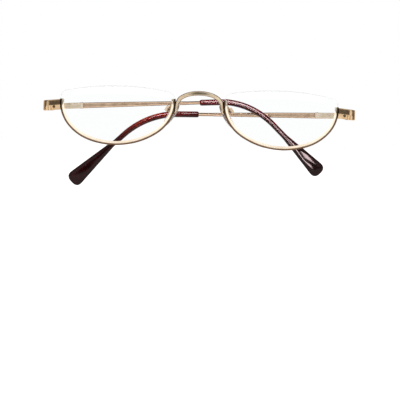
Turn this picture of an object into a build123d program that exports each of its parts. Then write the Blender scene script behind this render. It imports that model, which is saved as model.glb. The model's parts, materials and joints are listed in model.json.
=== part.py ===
"""Half eye reading glasses, folded, as an assembly of separate pieces.

X runs across the face with the wearer's left at +X, Y runs from the front backwards, Z is up.
The origin is under the bridge's middle at the height of the end pieces, at the eyewires' front.
Every piece is drawn for the wearer's left and mirrored for the right.
"""
from build123d import *
from math import cos, radians, sin, tan
import os

# Front, seen from the front
bridge_gap = 19.96
eye_width = 48.64
eye_drop = 16.3
brow_rise = 8.85
nasal_brow_rise = 6.55
temporal_brow_rise = 5.95
nasal_corner_radius = 4.5
temporal_corner_radius = 3.3
nasal_rim_end = 4.2
temporal_rim_end = 2.4

# Outline under the eye: shares of the eye's width from its nasal side, and of its drop
eye_low_share = (0.523, -1.0)
temporal_shares = [(0.746, -0.885), (0.918, -0.545), (0.985, -0.208), (1.0, 0.124)]
nasal_shares = [(0.331, -0.917), (0.153, -0.665), (0.036, -0.277), (0.0, 0.121)]
brow_peak_share = 0.44

# Eyewire and lens
rim_width = 1.7
rim_depth = 2.1
rim_edge_radius = 0.4
channel_wall = 0.55
channel_height = 1.0
lens_front_radius = 100.0
lens_back_radius = 160.0
lens_thickness = 2.5
lens_forward = 0.3
fit_gap = 0.05
line_diameter = 0.6
line_anchor = 1.3
line_proud = 0.05

# Bridge, seen from the front: shares of the half gap, and of the height of its top
bridge_top = 7.55
bridge_under = 5.65
bridge_depth = 1.5
bridge_edge_radius = 0.4
bridge_arch = 1.6
bridge_top_shares = [(0.46, 0.92), (0.83, 0.69), (1.0, 0.34), (1.03, 0.04)]
bridge_under_shares = [(0.44, 0.68), (0.72, 0.51), (0.85, 0.25), (0.875, 0.05)]
solder_share = (1.06, -0.34)

# End piece
end_reach = 7.03
end_height = 4.4
end_droop = 5.8
end_front = 0.75
end_plate = 2.2
leg_thickness = 1.45
end_corner_radius = 2.6
end_inner_radius = 1.0
end_edge_radius = 0.35
end_middle_height = 0.1
ledge_height = 2.1
ledge_step = 0.3
ledge_slope = 0.35
groove_radius = 0.6
groove_depth = 0.18
groove_stop = 0.35
groove_insets = [3.43, 2.33, 1.23]
leg_drop = 0.85

# Hinge
pin_gap = 0.2
pin_depth = 9.7
hinge_height = -0.9
butt_gap = 0.25
knuckle_radius = 1.2
knuckle_relief = 0.15
knuckle_stack = 3.3
middle_knuckle = 1.2
knuckle_gap = 0.05
pin_diameter = 1.0
pin_head_diameter = 1.9
pin_head_height = 0.45
slot_width = 0.3
slot_depth = 0.2
leaf_thickness = 1.1
leaf_plate = 0.8
leaf_height = 2.6
leaf_margin = 1.3
closing_screw_diameter = 0.7
closing_head_diameter = 1.1
closing_head_height = 0.35
closing_head_depth = 0.15
closing_screw_place = 2.5
closing_screw_drop = 0.65

# Spring hinge, along the temple from the pin
temple_gap = 0.1
housing_gap = 0.7
housing_end = 14.2
housing_wall = 0.4
neck_rise_gap = 0.2
neck_side_gap = 0.15
neck_reach = 3.1
housing_edge_radius = 0.3
collar_length = 1.3
collar_proud = 0.12
stop_thickness = 0.7
rod_seat = 1.0
rod_diameter = 0.6
rod_head_gap = 0.1
rod_head_thickness = 0.5
rod_room = 1.6
spring_wire = 0.22
spring_gap = 0.14
spring_turns = 7
slide_gap = 0.06

# Temple, along its length from the pin: it tapers at shares of the way to its round core
temple_front = 0.25
temple_shoulder = 0.6
taper_shares = [0.57895, 0.87719]
core_bare = 6.0
temple_heights = [2.4, 2.3, 2.0, 1.6, 1.5]
temple_widths = [1.5, 1.4, 1.3, 1.4, 1.5]
temple_corners = [0.45, 0.45, 0.45, 0.5, 0.6]
core_diameter = 1.4
sleeve_height = 2.6
sleeve_thickness = 2.6
sleeve_edge_radius = 1.1
sleeve_mouth_radius = 0.35
sleeve_waist = 2.35
flare_radius = 12.0
flare_angle = 6.1
paddle_sag = 1.0
paddle_corner_radius = 2.3

# Each temple as it was adjusted: its rise and swing when folded, and how its end bends down
rise_angles = {"left": -1.2, "right": 3.3}
fold_angles = {"left": 1.1, "right": -1.0}
bend_radii = {"left": 33.0, "right": 31.0}
bend_angles = {"left": 43.0, "right": 47.6}
temple_lengths = {"left": 127.0, "right": 125.3}
drop_lengths = {"left": 54.5, "right": 54.3}
sleeve_leads = {"left": 9.5, "right": 8.0}
waist_lengths = {"left": 5.73, "right": 6.25}
core_margins = {"left": 15.0, "right": 13.3}

# Nose pads
pad_outset = 1.82
pad_gap = 0.07
pad_height = -3.0
pad_length = 12.0
pad_width = 5.4
pad_thickness = 2.0
pad_edge_radius = 0.9
pad_splay = 28.0
pad_lean = 33.7
core_length = 6.0
core_width = 2.4
core_thickness = 0.5
eye_thickness = 0.9
eye_radius = 0.6
box_above = 1.3
box_behind = 3.0
box_length = 2.4
box_width = 2.0
box_depth = 1.9
box_wall = 0.5
box_end_wall = 0.35
box_floor = 0.3
box_edge_radius = 0.2
pad_pin_diameter = 0.6
pad_pin_head = 1.0
pad_pin_head_height = 0.3
pad_slot_width = 0.2
pad_slot_depth = 0.12
arm_diameter = 0.95
arm_inset = 0.87
arm_height = 2.5
arm_behind = 0.29
arm_bow_radius = 0.7

# Worked out once
overrun = 20.0
end_share = 0.9
nasal_x = bridge_gap / 2
temporal_x = nasal_x + eye_width
eye_middle = nasal_x + eye_width / 2
eye_centre_height = (brow_rise - eye_drop) / 2
base_curve = (lens_front_radius + lens_back_radius) / 2
rim_back = rim_depth / 2
half_width = temporal_x + end_reach
pin_across = half_width - leg_thickness - knuckle_radius - pin_gap
sides = ["left", "right"]
pin_point = Vector(pin_across, pin_depth, hinge_height)
temple_seat = knuckle_radius + temple_gap
core_middle = temple_seat + temple_widths[-1] / 2


def hand_in(piece, side, name):
    """Label a piece drawn for the left, mirror it for the right, and write its file."""
    label = name
    placed = piece
    if side:
        label = f"{side}_{name}"
    if side == "right":
        placed = mirror(piece, about=Plane.YZ)
    placed.label = label
    export_step(placed, f"parts/{label}.step")


def eye_point(share):
    """Turn a share pair into a point of the eye's outline."""
    return (nasal_x + share[0] * eye_width, share[1] * eye_drop)


def bridge_point(share):
    """Turn a share pair into a point of the bridge's outline."""
    return (share[0] * nasal_x, share[1] * bridge_top)


def arc_chain(start, tangent, points):
    """Draw tangent arcs from start through the points, and give the last one."""
    arc = None
    here = start
    for point in points:
        arc = TangentArc(here, point, tangent=tangent)
        here = arc @ 1
        tangent = arc % 1
    return arc


def eye_sketch(inset):
    """The eye's outline on the XZ plane, moved inwards by inset."""
    with BuildSketch(Plane.XZ) as eye:
        with BuildLine():
            low = eye_point(eye_low_share)
            outer = arc_chain(low, (1, 0), [eye_point(share) for share in temporal_shares])
            inner = arc_chain(low, (-1, 0), [eye_point(share) for share in nasal_shares])
            nasal_top = (nasal_x, nasal_brow_rise)
            temporal_top = (temporal_x, temporal_brow_rise)
            Line(outer @ 1, temporal_top)
            Line(inner @ 1, nasal_top)
            ThreePointArc(nasal_top, (nasal_x + brow_peak_share * eye_width, brow_rise), temporal_top)
        make_face()
        fillet(eye.vertices().group_by(Axis.X)[0].sort_by(Axis.Y)[-1], radius=nasal_corner_radius)
        fillet(eye.vertices().group_by(Axis.X)[-1].sort_by(Axis.Y)[-1], radius=temporal_corner_radius)
        if inset > 0:
            offset(amount=-inset, kind=Kind.ARC, mode=Mode.REPLACE)
    return eye.sketch


def above_rim(drop):
    """The region above the two ends of the eyewire, lowered by drop."""
    with BuildSketch(Plane.XZ) as above:
        with BuildLine():
            Polyline(
                (0, nasal_rim_end - drop),
                (half_width, temporal_rim_end - drop),
                (half_width, overrun),
                (0, overrun),
                close=True,
            )
        make_face()
    return above.sketch


def sag(reach, radius):
    """How far an arc of this radius falls back at this reach from its middle."""
    return radius - (radius**2 - reach**2) ** 0.5


def curved_slab(middle, front, reach, radius, thickness):
    """A tall slab that is curved across the face, between two like arcs."""
    with BuildSketch() as slab_plan:
        with BuildLine():
            for y in (front - thickness / 2, front + thickness / 2):
                end_y = y + sag(reach, radius)
                ThreePointArc((middle - reach, end_y), (middle, y), (middle + reach, end_y))
            for x in (middle - reach, middle + reach):
                end_y = front + sag(reach, radius)
                Line((x, end_y - thickness / 2), (x, end_y + thickness / 2))
        make_face()
    with BuildPart() as slab:
        extrude(slab_plan.sketch, amount=overrun, both=True)
    return slab.part


def curved_sheet(outline, cuts, thickness):
    """The outline less the cuts, through a curved sheet whose middle is at the lens plane."""
    slab = curved_slab(eye_middle, 0, eye_width / 2 + rim_width, base_curve, thickness)
    with BuildPart() as sheet:
        extrude(outline, amount=overrun, both=True)
        for cut in cuts:
            extrude(cut, amount=overrun, both=True, mode=Mode.SUBTRACT)
        add(slab, mode=Mode.INTERSECT)
    return sheet.part


def hinge_axis(side):
    """The hinge's direction, tilted so that the folded temple has its rise."""
    rise = radians(rise_angles[side])
    return Vector(sin(rise), 0, cos(rise))


def temple_direction(side):
    """Where the folded temple points."""
    rise = radians(rise_angles[side])
    fold = radians(fold_angles[side])
    return Vector(-cos(rise) * cos(fold), sin(fold), sin(rise) * cos(fold))


def outward(side):
    """Square to the folded temple and its hinge, away from the lenses."""
    return temple_direction(side).cross(hinge_axis(side))


def plan_plane(side, lift):
    """Above the pin's middle by lift: x along the temple, z up the hinge."""
    return Plane(
        origin=pin_point + hinge_axis(side) * lift,
        x_dir=temple_direction(side),
        z_dir=hinge_axis(side),
    )


def side_plane(side):
    """Through the core's middle: x along the temple from the pin, y up the hinge."""
    return Plane(
        origin=pin_point + outward(side) * core_middle,
        x_dir=temple_direction(side),
        z_dir=outward(side),
    )


def section_plane(side, place, aside):
    """Across the temple at this place from the pin: x up the hinge, y outward."""
    return Plane(
        origin=pin_point + temple_direction(side) * place + outward(side) * aside,
        x_dir=hinge_axis(side),
        z_dir=temple_direction(side),
    )


def bend_start(side):
    """Where the temple starts to bend down."""
    return temple_lengths[side] - drop_lengths[side]


def bend_end(side):
    """Where the bend runs out, by length along the core."""
    return bend_start(side) + bend_radii[side] * radians(bend_angles[side])


def core_route(side, start, end):
    """The core's middle line between two lengths from the pin: straight, bend, straight."""
    with BuildLine(side_plane(side)) as route:
        lead = Line((start, 0), (bend_start(side), 0))
        bend = JernArc(lead @ 1, lead % 1, bend_radii[side], -bend_angles[side])
        Line(bend @ 1, (bend @ 1) + (bend % 1) * (end - bend_end(side)))
    return route.line


def long_edges(piece):
    """The edges that run along a wire, without those of its two cut ends."""
    ends = piece.faces().filter_by(GeomType.PLANE).filter_by(lambda face: abs(face.normal_at().Z) > end_share)
    return (piece.edges() - ends.edges()).filter_by(Axis.Y, reverse=True)


os.makedirs("parts", exist_ok=True)
rim_shape = eye_sketch(0)

# Curved sheets that the eyewire, the lens and its line are cut from
rim_sheet = curved_sheet(rim_shape, [eye_sketch(rim_width), above_rim(0)], rim_depth)
channel_sheet = curved_sheet(eye_sketch(channel_wall), [eye_sketch(2 * rim_width)], channel_height)
bevel_sheet = curved_sheet(
    eye_sketch(channel_wall + fit_gap),
    [eye_sketch(2 * rim_width)],
    channel_height - 2 * fit_gap,
)
line_sheet = curved_sheet(eye_sketch(line_proud), [eye_sketch(line_proud + line_diameter)], line_diameter)
groove_sheet = curved_sheet(
    rim_shape,
    [eye_sketch(line_proud + line_diameter + fit_gap)],
    line_diameter + 2 * fit_gap,
)

# Nylon line along the bare edge, with both ends anchored in the eyewire
line_zone = above_rim(line_anchor)
with BuildPart() as lens_line:
    add(line_sheet)
    extrude(line_zone, amount=overrun, both=True, mode=Mode.INTERSECT)

# Room for the line in the lens
groove_zone = above_rim(line_anchor + fit_gap)
with BuildPart() as line_groove:
    add(groove_sheet)
    extrude(groove_zone, amount=overrun, both=True, mode=Mode.INTERSECT)

# Eyewire
with BuildPart() as eyewire:
    add(rim_sheet)
    fillet(long_edges(eyewire), radius=rim_edge_radius)
    add(channel_sheet, mode=Mode.SUBTRACT)
    add(lens_line.part, mode=Mode.SUBTRACT)

# Lens, bevelled into the eyewire's channel and bare above it
bare_shape = eye_sketch(channel_wall)
bare_zone = above_rim(-fit_gap)
held_shape = eye_sketch(rim_width + fit_gap)
with BuildPart() as lens:
    extrude(bare_shape, amount=overrun, both=True)
    extrude(bare_zone, amount=overrun, both=True, mode=Mode.INTERSECT)
    extrude(held_shape, amount=overrun, both=True)
    with Locations((eye_middle, lens_front_radius - lens_thickness / 2 - lens_forward, eye_centre_height)):
        Sphere(lens_front_radius, mode=Mode.INTERSECT)
    with Locations((eye_middle, lens_back_radius + lens_thickness / 2 - lens_forward, eye_centre_height)):
        Sphere(lens_back_radius, mode=Mode.SUBTRACT)
    add(bevel_sheet)
    add(line_groove.part, mode=Mode.SUBTRACT)

# Block that stands for one eyewire's outside, to seat what is soldered to it
with BuildPart() as rim_outside:
    extrude(rim_shape, amount=overrun, both=True)

# Bridge: a wire flattened in the middle, one half drawn and mirrored
with BuildSketch(Plane.XZ) as bridge_band:
    with BuildLine():
        top_end = arc_chain((0, bridge_top), (1, 0), [bridge_point(share) for share in bridge_top_shares])
        under_end = arc_chain((0, bridge_under), (1, 0), [bridge_point(share) for share in bridge_under_shares])
        solder_end = TangentArc(under_end @ 1, bridge_point(solder_share), tangent=under_end % 1)
        Line(top_end @ 1, solder_end @ 1)
        Line((0, bridge_top), (0, bridge_under))
    make_face()
    mirror(about=Plane.YZ)
bridge_radius = nasal_x**2 / (2 * bridge_arch)
bridge_front = sag(eye_middle - nasal_x, base_curve) - bridge_arch
bridge_slab = curved_slab(0, bridge_front, nasal_x + rim_width, bridge_radius, bridge_depth)
with BuildPart() as bridge:
    extrude(bridge_band.sketch, amount=overrun, both=True)
    add(bridge_slab, mode=Mode.INTERSECT)
    fillet(bridge.edges().filter_by(Axis.Y, reverse=True), radius=bridge_edge_radius)
    add(rim_outside.part, mode=Mode.SUBTRACT)
    add(mirror(rim_outside.part, about=Plane.YZ, mode=Mode.PRIVATE), mode=Mode.SUBTRACT)

# End piece: an L seen from above, between two drooping faces
droop = radians(end_droop)
end_along = Vector(cos(droop), 0, -sin(droop))
end_up = Vector(sin(droop), 0, cos(droop))
end_origin = Vector(temporal_x, 0, end_middle_height)
end_side = Plane(origin=end_origin, x_dir=(0, 1, 0), z_dir=end_along)
leg_inside = half_width - leg_thickness
leg_end = pin_depth - butt_gap
plate_back = end_front + end_plate
taper_start = plate_back + 2 * end_inner_radius
ledge_top = ledge_height - end_height / 2
ledge_front = end_front + ledge_step
closing_x = temporal_x + closing_screw_place
closing_z = end_middle_height - closing_screw_place * tan(droop) + ledge_top - closing_screw_drop
closing_front = ledge_front + closing_head_depth
closing_seat = closing_front + closing_head_height
with BuildPart() as end_piece:
    with BuildSketch() as end_plan:
        with BuildLine():
            Polyline(
                (temporal_x - rim_width, end_front),
                (half_width, end_front),
                (half_width, leg_end),
                (leg_inside, leg_end),
                (leg_inside, plate_back),
                (temporal_x - rim_width, plate_back),
                close=True,
            )
        make_face()
        fillet(end_plan.vertices().group_by(Axis.X)[1].sort_by(Axis.Y)[0], radius=end_inner_radius)
        fillet(end_plan.vertices().group_by(Axis.X)[-1].sort_by(Axis.Y)[0], radius=end_corner_radius)
    extrude(amount=overrun, both=True)
    with BuildSketch(end_side):
        with BuildLine():
            Polyline(
                (end_front, end_height / 2),
                (taper_start, end_height / 2),
                (leg_end, end_height / 2 - leg_drop),
                (leg_end, -end_height / 2),
                (end_front, -end_height / 2),
                close=True,
            )
        make_face()
    extrude(amount=overrun, both=True, mode=Mode.INTERSECT)
    level_faces = end_piece.faces().filter_by(lambda face: abs(face.normal_at().dot(end_up)) > end_share)
    wall_faces = (end_piece.faces() - level_faces).sort_by(Axis.Y)[:-1].sort_by(Axis.X)[1:]
    fillet(level_faces.edges() & wall_faces.edges(), radius=end_edge_radius)
    with BuildSketch(end_side):
        with BuildLine():
            Polyline(
                (-end_front, ledge_top),
                (ledge_front, ledge_top),
                (ledge_front + 2 * ledge_slope, ledge_top - 2 * ledge_height),
                (-end_front, ledge_top - 2 * ledge_height),
                close=True,
            )
        make_face()
    extrude(amount=overrun, both=True, mode=Mode.SUBTRACT)
    ledge_rise = end_up * ledge_height - Vector(0, ledge_slope, 0)
    for inset in groove_insets:
        groove_side = end_origin + end_along * (end_reach - inset)
        groove_top = groove_side + Vector(0, ledge_front, 0) + end_up * (ledge_top - groove_stop)
        with BuildSketch(Plane(origin=groove_top, x_dir=end_along, z_dir=ledge_rise)):
            with Locations((0, groove_depth - groove_radius)):
                Circle(groove_radius)
        extrude(amount=-end_height, mode=Mode.SUBTRACT)
    with BuildSketch(Plane.XZ.offset(-closing_seat)):
        with Locations((closing_x, closing_z)):
            Circle(closing_head_diameter / 2 + fit_gap)
    extrude(amount=closing_seat, mode=Mode.SUBTRACT)
    with BuildSketch(Plane.XZ):
        with Locations((closing_x, closing_z)):
            Circle(closing_screw_diameter / 2 + fit_gap)
    extrude(amount=-overrun, mode=Mode.SUBTRACT)
    add(rim_outside.part, mode=Mode.SUBTRACT)

# Screw that closes the end piece over the hinge leaf, with a slotted head
with BuildPart() as closing_screw:
    with BuildSketch(Plane.XZ.offset(-closing_front)):
        with Locations((closing_x, closing_z)):
            Circle(closing_head_diameter / 2)
    extrude(amount=-closing_head_height)
    with BuildSketch(Plane.XZ.offset(-closing_seat)):
        with Locations((closing_x, closing_z)):
            Circle(closing_screw_diameter / 2)
    extrude(amount=closing_seat - plate_back - leaf_plate)
    with BuildSketch(Plane.XZ.offset(-closing_front)):
        with Locations((closing_x, closing_z)):
            Rectangle(2 * closing_head_diameter, pad_slot_width)
    extrude(amount=-pad_slot_depth, mode=Mode.SUBTRACT)

# Hinge and temple of each side
leaf_start = closing_x - leaf_margin
housing_start = knuckle_radius + housing_gap
cavity_height = middle_knuckle + 2 * neck_rise_gap
cavity_width = 2 * (temple_seat - housing_wall)
housing_height = cavity_height + 2 * housing_wall
neck_end = housing_start + neck_reach
rod_end = housing_end - housing_wall - rod_room
stop_start = neck_end + slide_gap
spring_start = stop_start + stop_thickness + spring_wire / 2
spring_length = rod_end - rod_head_thickness - spring_wire / 2 - spring_start
for side in sides:
    axis_up = Axis(pin_point, hinge_axis(side))
    axis_along = Axis(pin_point, temple_direction(side))
    axis_out = Axis(pin_point, outward(side))

    # Front leaf: behind the end piece, along its leg, to the two outer knuckles
    with BuildPart() as front_knuckles:
        with BuildSketch(Plane.XY.offset(hinge_height)) as leaf_plan:
            with BuildLine():
                Polyline(
                    (leaf_start, plate_back),
                    (leg_inside, plate_back),
                    (leg_inside, leg_end),
                    (leg_inside - leaf_thickness, leg_end),
                    (leg_inside - leaf_thickness, plate_back + leaf_plate),
                    (leaf_start, plate_back + leaf_plate),
                    close=True,
                )
            make_face()
            fillet(leaf_plan.vertices().group_by(Axis.X)[-1].sort_by(Axis.Y)[0], radius=end_inner_radius)
        extrude(amount=leaf_height / 2, both=True)
        with BuildSketch(plan_plane(side, 0)):
            Circle(knuckle_radius)
        extrude(amount=knuckle_stack / 2, both=True)
        with BuildSketch(plan_plane(side, 0)):
            Circle(knuckle_radius + knuckle_relief)
        extrude(amount=middle_knuckle / 2 + knuckle_gap, both=True, mode=Mode.SUBTRACT)
        with BuildSketch(plan_plane(side, 0)):
            Circle(pin_diameter / 2 + fit_gap)
        extrude(amount=knuckle_stack, both=True, mode=Mode.SUBTRACT)
        with BuildSketch(Plane.XZ):
            with Locations((closing_x, closing_z)):
                Circle(closing_screw_diameter / 2 + fit_gap)
        extrude(amount=-(plate_back + 2 * leaf_plate), mode=Mode.SUBTRACT)
        add(end_piece.part, mode=Mode.SUBTRACT)

    # Hinge screw, with its slotted head on top
    with BuildPart() as hinge_screw:
        with BuildSketch(plan_plane(side, -knuckle_stack / 2)):
            Circle(pin_diameter / 2)
        extrude(amount=knuckle_stack)
        with BuildSketch(plan_plane(side, knuckle_stack / 2)):
            Circle(pin_head_diameter / 2)
        extrude(amount=pin_head_height)
        with BuildSketch(plan_plane(side, knuckle_stack / 2 + pin_head_height)):
            Rectangle(2 * pin_head_diameter, slot_width)
        extrude(amount=-slot_depth, mode=Mode.SUBTRACT)

    # Carriage: the middle knuckle and the neck that slides in the spring housing
    with BuildPart() as carriage:
        with BuildSketch(plan_plane(side, 0)):
            Circle(knuckle_radius)
        extrude(amount=middle_knuckle / 2, both=True)
        with BuildSketch(section_plane(side, 0, 0)):
            Rectangle(middle_knuckle, cavity_width - 2 * neck_side_gap)
        extrude(amount=neck_end)
        with BuildSketch(plan_plane(side, 0)):
            Circle(pin_diameter / 2 + fit_gap)
        extrude(amount=knuckle_stack, both=True, mode=Mode.SUBTRACT)
        with BuildSketch(section_plane(side, neck_end, 0)):
            Circle(rod_diameter / 2)
        extrude(amount=-rod_seat, mode=Mode.SUBTRACT)

    # Rod that carries the spring, with its head
    with BuildPart() as spring_rod:
        with BuildSketch(section_plane(side, neck_end - rod_seat, 0)):
            Circle(rod_diameter / 2)
        extrude(amount=rod_end - neck_end + rod_seat)
        with BuildSketch(section_plane(side, rod_end, 0)):
            Circle(cavity_height / 2 - rod_head_gap)
        extrude(amount=-rod_head_thickness)

    # Spring housing, open towards the pin, with a collar at its far end
    with BuildPart() as spring_housing:
        with BuildSketch(section_plane(side, housing_start, 0)):
            Rectangle(housing_height, 2 * temple_seat)
        extrude(amount=housing_end - housing_start)
        with BuildSketch(section_plane(side, housing_end, -collar_proud / 2)):
            Rectangle(housing_height + 2 * collar_proud, 2 * temple_seat + collar_proud)
        extrude(amount=-collar_length)
        lengthwise = spring_housing.edges().filter_by(axis_along)
        fillet(lengthwise.group_by(axis_out)[0] + lengthwise.group_by(axis_out)[1], radius=housing_edge_radius)
        far_edges = spring_housing.edges().group_by(axis_along)[-1]
        fillet(far_edges.sort_by(axis_out)[:-1], radius=housing_edge_radius)
        with BuildSketch(section_plane(side, housing_start, 0)):
            Rectangle(cavity_height, cavity_width)
        extrude(amount=housing_end - housing_start - housing_wall, mode=Mode.SUBTRACT)

    # Stop fixed in the housing, which the spring presses on
    with BuildPart() as spring_stop:
        with BuildSketch(section_plane(side, stop_start, 0)):
            Rectangle(cavity_height - 2 * fit_gap, cavity_width - 2 * fit_gap)
            Circle(rod_diameter / 2 + slide_gap, mode=Mode.SUBTRACT)
        extrude(amount=stop_thickness)

    # Compression spring on the rod
    with BuildPart() as hinge_spring:
        with BuildLine() as coil:
            Helix(
                pitch=spring_length / spring_turns,
                height=spring_length,
                radius=(rod_diameter + spring_wire) / 2 + spring_gap,
                center=pin_point + temple_direction(side) * spring_start,
                direction=temple_direction(side),
            )
        with BuildSketch(Plane(origin=coil.line @ 0, z_dir=coil.line % 0)):
            Circle(spring_wire / 2)
        sweep(path=coil.line, is_frenet=True)

    # Temple: a drawn wire that tapers to a round core
    sleeve_start = bend_start(side) - sleeve_leads[side]
    core_start = sleeve_start - core_bare
    core_end = temple_lengths[side] - core_margins[side]
    places = [temple_front, housing_end + temple_shoulder]
    places += [share * core_start for share in taper_shares]
    places += [core_start]
    core_path = core_route(side, core_start, core_end)
    with BuildPart() as temple:
        for place, height, width, corner in zip(places, temple_heights, temple_widths, temple_corners):
            with BuildSketch(section_plane(side, place, temple_seat + width / 2)):
                RectangleRounded(height, width, corner)
        loft()
        with BuildSketch(section_plane(side, core_start, core_middle)):
            Circle(core_diameter / 2)
        sweep(path=core_path)

    # Sleeve over the core, bent down and widened to a blunt paddle
    bore_path = core_route(side, sleeve_start - sleeve_height, core_end + fit_gap)
    down = radians(bend_angles[side])
    flare = radians(flare_angle)
    flare_start = bend_end(side) + waist_lengths[side]
    narrowing = (sleeve_waist - sleeve_height * cos(down)) / (1 - cos(down)) / 2
    widening = (temple_lengths[side] - flare_start - paddle_sag - flare_radius * sin(flare)) / cos(flare)
    with BuildPart() as temple_tip:
        with BuildSketch(side_plane(side)) as tip_outline:
            with BuildLine():
                shoulders = []
                for turn in (1, -1):
                    lead_end = (bend_start(side), turn * sleeve_height / 2)
                    lead = Line((sleeve_start, turn * sleeve_height / 2), lead_end)
                    bend = JernArc(lead @ 1, lead % 1, bend_radii[side] + turn * narrowing, -bend_angles[side])
                    waist = Line(bend @ 1, (bend @ 1) + (bend % 1) * waist_lengths[side])
                    widen = JernArc(waist @ 1, waist % 1, flare_radius, turn * flare_angle)
                    edge = Line(widen @ 1, (widen @ 1) + (widen % 1) * widening)
                    shoulders.append(edge @ 1)
                tip_end = (shoulders[0] + shoulders[1]) / 2 + (waist % 1) * paddle_sag
                ThreePointArc(shoulders[0], tip_end, shoulders[1])
                Line((sleeve_start, sleeve_height / 2), (sleeve_start, -sleeve_height / 2))
            make_face()
            fillet(tip_outline.vertices().sort_by_distance(tip_end)[:2], radius=paddle_corner_radius)
        extrude(amount=sleeve_thickness / 2, both=True)
        flat_faces = temple_tip.faces().filter_by(axis_out)
        fillet(flat_faces.edges().filter_by(axis_up, reverse=True), radius=sleeve_edge_radius)
        fillet(temple_tip.faces().sort_by(axis_along)[0].edges(), radius=sleeve_mouth_radius)
        with BuildSketch(section_plane(side, sleeve_start - sleeve_height, core_middle)):
            Circle(core_diameter / 2 + fit_gap)
        sweep(path=bore_path, mode=Mode.SUBTRACT)

    for name, piece in (
        ("front_knuckles", front_knuckles),
        ("hinge_screw", hinge_screw),
        ("carriage", carriage),
        ("spring_rod", spring_rod),
        ("spring_housing", spring_housing),
        ("spring_stop", spring_stop),
        ("hinge_spring", hinge_spring),
        ("temple", temple),
        ("temple_tip", temple_tip),
    ):
        hand_in(piece.part, side, name)

# Nose pad, in a frame of its own: down its length, across it, and towards the nose
lean = radians(pad_lean)
splay = radians(pad_splay)
rim_side_back = sag(eye_width / 2, base_curve) + rim_back
pad_back = rim_side_back + pad_gap + pad_width / 2 * cos(splay)
pad_middle = Vector(nasal_x + pad_outset, pad_back, pad_height)
pad_down = Vector(sin(lean), 0, -cos(lean))
pad_nose = Vector(-cos(splay) * cos(lean), sin(splay), -cos(splay) * sin(lean))
pad_rear = Vector(sin(splay) * cos(lean), cos(splay), sin(splay) * sin(lean))
pad_plane = Plane(origin=pad_middle, x_dir=pad_down, z_dir=pad_nose)
pin_middle = pad_middle - pad_nose * box_behind - pad_down * box_above
box_plane = Plane(origin=pin_middle, x_dir=pad_down, z_dir=pad_nose)
pin_plane = Plane(origin=pin_middle, x_dir=pad_nose, z_dir=pad_rear)

# Hard core moulded in the pad, with a tab and an eye for the pad screw
with BuildPart() as pad_core:
    with BuildSketch(pad_plane):
        RectangleRounded(core_length, core_width, core_width / 3)
    extrude(amount=core_thickness / 2, both=True)
    with BuildSketch(pin_plane):
        Circle(eye_radius)
        with Locations((box_behind / 2, 0)):
            Rectangle(box_behind, 2 * eye_radius)
    extrude(amount=eye_thickness / 2, both=True)
    with BuildSketch(pin_plane):
        Circle(pad_pin_diameter / 2 + fit_gap)
    extrude(amount=eye_thickness, both=True, mode=Mode.SUBTRACT)

# Soft oval pad around the core
with BuildPart() as nose_pad:
    with BuildSketch(pad_plane):
        Ellipse(pad_length / 2, pad_width / 2)
    extrude(amount=pad_thickness / 2, both=True)
    fillet(nose_pad.edges().group_by(Axis(pad_middle, pad_nose))[0], radius=pad_edge_radius)
    fillet(nose_pad.edges().group_by(Axis(pad_middle, pad_nose))[-1], radius=pad_edge_radius)
    add(pad_core.part, mode=Mode.SUBTRACT)

# Solid block of the pad's box, which also ends the arm
with BuildPart() as box_block:
    with BuildSketch(box_plane):
        Rectangle(box_length, box_width)
    extrude(amount=box_depth / 2, both=True)
    fillet(box_block.edges(), radius=box_edge_radius)

# Box that holds the pad's eye, open towards the nose
with BuildPart() as pad_box:
    add(box_block.part)
    with BuildSketch(box_plane.offset(box_floor - box_depth / 2)):
        Rectangle(box_length - 2 * box_end_wall, box_width - 2 * box_wall)
    extrude(amount=box_depth, mode=Mode.SUBTRACT)
    with BuildSketch(pin_plane):
        Circle(pad_pin_diameter / 2 + fit_gap)
    extrude(amount=box_width, both=True, mode=Mode.SUBTRACT)

# Pad screw across the box, with its slotted head at the rear
with BuildPart() as pad_screw:
    with BuildSketch(pin_plane):
        Circle(pad_pin_diameter / 2)
    extrude(amount=box_width / 2, both=True)
    with BuildSketch(pin_plane.offset(box_width / 2)):
        Circle(pad_pin_head / 2)
    extrude(amount=pad_pin_head_height)
    with BuildSketch(pin_plane.offset(box_width / 2 + pad_pin_head_height)):
        Rectangle(2 * pad_pin_head, pad_slot_width)
    extrude(amount=-pad_slot_depth, mode=Mode.SUBTRACT)

# Arm: from the eyewire's back, rearwards and across to the box
arm_across = nasal_x + arm_inset
arm_root = Vector(arm_across, 0, arm_height)
arm_reach = Vector(pin_middle.X - arm_across, 0, pin_middle.Z - arm_height)
arm_seat = sag(eye_middle - arm_across, base_curve) + rim_back - rim_edge_radius
arm_plane = Plane(origin=arm_root, x_dir=arm_reach, z_dir=arm_reach.cross(Vector(0, 1, 0)))
with BuildPart() as pad_arm:
    with BuildLine(arm_plane) as arm_line:
        bow = pin_middle.Y + arm_behind
        FilletPolyline((0, arm_seat), (0, bow), (arm_reach.length, bow), radius=arm_bow_radius)
    with BuildSketch(Plane(origin=arm_line.line @ 0, z_dir=arm_line.line % 0)):
        Circle(arm_diameter / 2)
    sweep(path=arm_line.line)
    add(eyewire.part, mode=Mode.SUBTRACT)
    add(box_block.part, mode=Mode.SUBTRACT)

for side in sides:
    for name, piece in (
        ("eyewire", eyewire),
        ("lens", lens),
        ("lens_line", lens_line),
        ("end_piece", end_piece),
        ("closing_screw", closing_screw),
        ("nose_pad", nose_pad),
        ("pad_core", pad_core),
        ("pad_box", pad_box),
        ("pad_screw", pad_screw),
        ("pad_arm", pad_arm),
    ):
        hand_in(piece.part, side, name)
hand_in(bridge.part, "", "bridge")
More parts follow.
